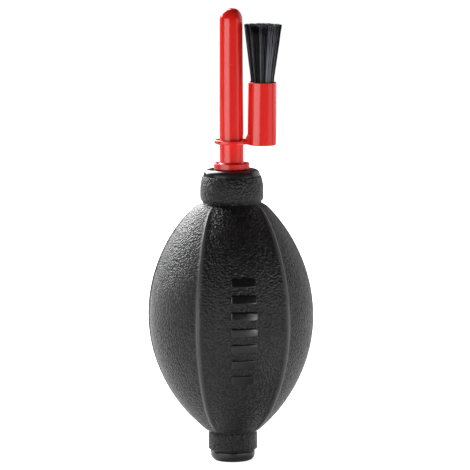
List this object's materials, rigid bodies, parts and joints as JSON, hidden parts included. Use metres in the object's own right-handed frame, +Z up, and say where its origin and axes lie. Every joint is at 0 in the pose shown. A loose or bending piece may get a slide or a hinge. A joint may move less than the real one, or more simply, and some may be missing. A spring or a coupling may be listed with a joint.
{
  "type": "dust blower bulb",
  "caption": "Ribbed rubber bulb with a long turning nozzle, a one-way air inlet in its foot and a slide-off cleaning brush parked beside the nozzle.",
  "frame": {"origin": "middle of the foot's flat rest face, on the long axis", "axes": "+Z up the long axis from the foot to the nozzle's tip, +X towards the parked brush, -Y towards the front"},
  "size_m": [0.0556, 0.0556, 0.1502],
  "materials": {
    "bulb_rubber": "fine leather-like moulded grain",
    "black_plastic": "polished moulding",
    "red_plastic": "glossy moulding",
    "bristle": "fine filaments with a soft shine",
    "resin": "poured and cured",
    "silicone": "smooth, translucent grey"
  },
  "bodies": {
    "bulb": {"bulb_body": "bulb_rubber", "valve_housing": "black_plastic", "valve_cage": "black_plastic"},
    "neck": {"neck_bush": "black_plastic"},
    "nozzle": {"nozzle_tube": "red_plastic"},
    "brush": {"brush_carrier": "red_plastic", "bristle_tuft": "bristle", "bristle_plug": "resin"},
    "disc": {"valve_disc": "silicone"}
  },
  "joints": [
    {"name": "squeeze", "type": "slide", "parent": "bulb", "child": "neck", "axis": [0, 0, -1], "range_m": [0, 0.022], "stiffness_N_per_m": 1500, "deforming": ["bulb_body"]},
    {"name": "nozzle_turn", "type": "hinge", "parent": "neck", "child": "nozzle", "pos_m": [0, 0, 0.0949], "axis": [0, 0, 1], "continuous": true},
    {"name": "brush_lift", "type": "slide", "parent": "nozzle", "child": "brush", "axis": [0, 0, 1], "range_m": [0, 0.046]},
    {"name": "valve_lift", "type": "slide", "parent": "bulb", "child": "disc", "axis": [0, 0, 1], "range_m": [0, 0.0012]}
  ]
}
